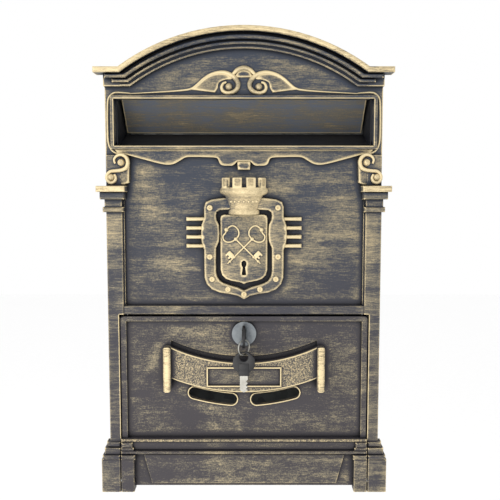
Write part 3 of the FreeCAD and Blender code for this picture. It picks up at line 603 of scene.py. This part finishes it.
def arc_of(bm, profile, start, sweep, steps, closed):
    """Turn a profile round the crown's upright axis; angles in degrees from straight out."""
    spot = at(0, CROWN_AXIS, 0)
    turn = Matrix.Rotation(math.radians(start), 4, "Z")
    corners = []
    for r, z in profile:
        corners.append(bm.verts.new(spot + turn @ Vector((0, -mm(r), mm(z)))))
    pairs = list(zip(corners, corners[1:] + (corners[:1] if closed else [])))
    shape = corners + [bm.edges.new(pair) for pair in pairs]
    if closed:
        shape.append(bm.faces.new(corners))
    bmesh.ops.spin(bm, geom=shape, cent=spot, axis=Vector((0, 0, 1)),
                   angle=math.radians(sweep), steps=steps)


bm = bmesh.new()
arc_of(bm, CROWN, -90, 180, 36, False)
for centre in MERLON_CENTRES:
    block = [(MERLON_IN, MERLON_LOW), (MERLON_OUT, MERLON_LOW),
             (MERLON_OUT, MERLON_HIGH - MERLON_EDGE), (MERLON_OUT - MERLON_EDGE, MERLON_HIGH),
             (MERLON_IN + MERLON_EDGE, MERLON_HIGH), (MERLON_IN, MERLON_HIGH - MERLON_EDGE)]
    arc_of(bm, block, centre - MERLON_SPAN / 2, MERLON_SPAN, 6, True)
for place in range(-3, 4):
    angle = math.radians(place * STUD_STEP)
    stud = at(STUD_SIDE * math.sin(angle), CROWN_AXIS + STUD_OUT * math.cos(angle), STUD_HEIGHT)
    bmesh.ops.create_uvsphere(bm, u_segments=12, v_segments=8, radius=mm(STUD_RADIUS),
                              matrix=Matrix.Translation(stud))
bmesh.ops.scale(bm, vec=Vector((1, FLATTEN, 1)), verts=bm.verts,
                space=Matrix.Translation(Vector((0, mm(CROWN_AXIS), 0))))
make("crest_crown", bm, crown_finish, "housing")

# ------------------------------------------------------------- plain metal pieces
# Pins, rod and fasteners are plated steel, the lock's barrel and plug are chromed,
# the key blades and their ring are nickel-plated and the back plate is galvanised.


def metal(name, light, dark, grain_mm, rough, stretch=(1, 1, 1)):
    """A plated metal: cloudy colour, and a fine grain in its gloss and relief."""
    material, tree = new_material(name)
    place = node(tree, "ShaderNodeTexCoord").outputs["Object"]
    lay = node(tree, "ShaderNodeMapping", {"Vector": place, "Scale": stretch}).outputs[0]
    grain = node(tree, "ShaderNodeTexNoise", {"Vector": lay, "Scale": 1000 / grain_mm,
                                              "Detail": 4.0, "Roughness": 0.6}).outputs[0]
    cloud = node(tree, "ShaderNodeTexNoise", {"Vector": place, "Scale": 120.0,
                                              "Detail": 2.0}).outputs[0]
    colour = node(tree, "ShaderNodeMix", {"Factor": cloud, "A": tone(dark), "B": tone(light)},
                  data_type="RGBA").outputs["Result"]
    polish = node(tree, "ShaderNodeMapRange", {"Value": grain, "To Min": rough * 0.7,
                                               "To Max": rough * 1.4}).outputs[0]
    bump = node(tree, "ShaderNodeBump", {"Height": grain, "Strength": 0.25,
                                         "Distance": mm(0.05)}).outputs[0]
    finish_material(tree, Base_Color=colour, Metallic=1.0, Roughness=polish, Normal=bump)
    return material


# Zinc-plated steel: pins, rod, clips, nut, washer, cam and screws.
zinc = metal("zinc_plated_steel", "#b9bdc0", "#8d9296", 0.5, 0.36)
dress(zinc, "back_plate_screws", "hinge_pin_left", "hinge_pin_right", "flap_rod", "rod_clips",
      "lock_washer", "lock_nut", "lock_cam", "cam_screw")
# Chromed zinc die casting: the lock's barrel and plug.
lock_metal = metal("chromed_lock_face", "#868b8f", "#4d5359", 0.5, 0.36)
dress(lock_metal, "lock_barrel", "lock_plug")
# Nickel-plated brass: the key blades and the ring, with a grain that runs upright.
key_metal = metal("nickel_plated_key", "#b4b3ad", "#86857f", 0.3, 0.3, (3.0, 1.0, 0.3))
dress(key_metal, "key_blade", "spare_key_blade", "key_ring")


def spangled_sheet():
    """Hot-dip galvanised sheet: crystals of zinc, each a slightly different grey."""
    material, tree = new_material("galvanised_back_sheet")
    place = node(tree, "ShaderNodeTexCoord").outputs["Object"]
    crystal = node(tree, "ShaderNodeTexVoronoi", {"Vector": place, "Scale": 1000 / 9})
    grey = node(tree, "ShaderNodeMapRange", {"Value": crystal.outputs["Color"]}).outputs[0]
    colour = node(tree, "ShaderNodeMix", {"Factor": grey, "A": tone("#8b9093"),
                                          "B": tone("#b3b7b8")}, data_type="RGBA")
    dust = node(tree, "ShaderNodeTexNoise", {"Vector": place, "Scale": 300.0, "Detail": 4.0})
    rough = node(tree, "ShaderNodeMapRange", {"Value": dust.outputs[0], "To Min": 0.32,
                                              "To Max": 0.55}).outputs[0]
    bump = node(tree, "ShaderNodeBump", {"Height": grey, "Strength": 0.1,
                                         "Distance": mm(0.1)}).outputs[0]
    finish_material(tree, Base_Color=colour.outputs["Result"], Metallic=0.9, Roughness=rough,
                    Normal=bump)
    return material


dress(spangled_sheet(), "back_plate")

# ---------------------------------------------------- slot chute and key bows
# The chute behind the slot is folded steel sheet in dark satin paint, made near-black
# as painted shade for the deep shade inside the slot. The two key bows are moulded in
# black plastic and take the place of the plain CAD ones.


def satin(name, dark, light, grain_mm, rough, depth_mm):
    """Paint or plastic with a fine even relief and cloudy changes of shade and gloss."""
    material, tree = new_material(name)
    place = node(tree, "ShaderNodeTexCoord").outputs["Object"]
    grain = node(tree, "ShaderNodeTexNoise", {"Vector": place, "Scale": 1000 / grain_mm,
                                              "Detail": 3.0}).outputs[0]
    wear = node(tree, "ShaderNodeTexNoise", {"Vector": place, "Scale": 1000 / 14,
                                             "Detail": 4.0}).outputs[0]
    colour = node(tree, "ShaderNodeMix", {"Factor": wear, "A": tone(dark), "B": tone(light)},
                  data_type="RGBA").outputs["Result"]
    gloss = node(tree, "ShaderNodeMapRange", {"Value": wear, "To Min": rough * 0.8,
                                              "To Max": rough * 1.25}).outputs[0]
    bump = node(tree, "ShaderNodeBump", {"Height": grain, "Strength": 0.4,
                                         "Distance": mm(depth_mm)}).outputs[0]
    finish_material(tree, Base_Color=colour, Roughness=gloss, Normal=bump)
    return material


# Painted shade: the chute's near-black navy stands for the deep shade inside the slot, over its
# dark paint.
dress(satin("dark_sheet_with_painted_shade", "#0b0d14", "#191c26", 0.8, 0.5, 0.05), "slot_chute")
plastic = satin("moulded_black_plastic", "#0a0b0e", "#17181c", 0.35, 0.42, 0.03)

# Each bow is an eight-sided plate with a ring hole near its far end, a thicker collar
# round the blade's tail and a raised square on each face.
BOW_REACH, BOW_FLATS, HOLE_ABOVE, HOLE_RADIUS = 10.0, 0.955, 5.0, 3.8
BOW_HALF, SQUARE_HALF, COLLAR_HALF = 1.2, 1.75, 1.9    # half thicknesses
KEY_DEPTH, SPARE_HOLE_Z, LOCK_HOLE_Z = 93, 126.0, 142.6
SPARE_HOLE, LOCK_HOLE = at(0, KEY_DEPTH, SPARE_HOLE_Z), at(0, KEY_DEPTH, LOCK_HOLE_Z)
BOW_TURN = Matrix(((0, -1, 0), (0, 0, -1), (1, 0, 0)))


def moulded_bow(name, turn, place, body):
    """A key bow drawn hanging on its ring hole, then turned and put in its place."""

    def slab(half_wide, low, high, half_thick, soften):
        corners = [(-half_wide, low), (half_wide, low), (half_wide, high), (-half_wide, high)]
        add_plate(bm, corners, KEY_DEPTH - half_thick, KEY_DEPTH + half_thick, soften)

    bm = bmesh.new()
    hub = SPARE_HOLE_Z - HOLE_ABOVE
    outline, hole = [], []
    for k in range(32):
        angle = math.tau * k / 32
        flat = (angle + math.pi / 8) % (math.pi / 4) - math.pi / 8
        reach = min(BOW_REACH, BOW_FLATS * BOW_REACH / math.cos(flat))
        outline.append((reach * math.sin(angle), hub + reach * math.cos(angle)))
        hole.append((HOLE_RADIUS * math.sin(angle),
                     SPARE_HOLE_Z + HOLE_RADIUS * math.cos(angle)))
    add_ring(bm, outline, hole, KEY_DEPTH - BOW_HALF, KEY_DEPTH + BOW_HALF, 0.35)
    slab(4.2, hub - 7.4, hub - 0.6, SQUARE_HALF, 0.3)
    slab(4.5, hub - 11.4, hub - 6.4, COLLAR_HALF, 0.5)
    bmesh.ops.translate(bm, vec=-SPARE_HOLE, verts=bm.verts)
    bmesh.ops.rotate(bm, cent=Vector(), matrix=turn, verts=bm.verts)
    bmesh.ops.translate(bm, vec=place, verts=bm.verts)
    return make(name, bm, plastic, body)


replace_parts(moulded_bow("key_bow_moulded", BOW_TURN, LOCK_HOLE, "key"), "key_bow")
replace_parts(moulded_bow("spare_key_bow_moulded", Matrix.Identity(3), SPARE_HOLE, "spare_key"),
            "spare_key_bow")
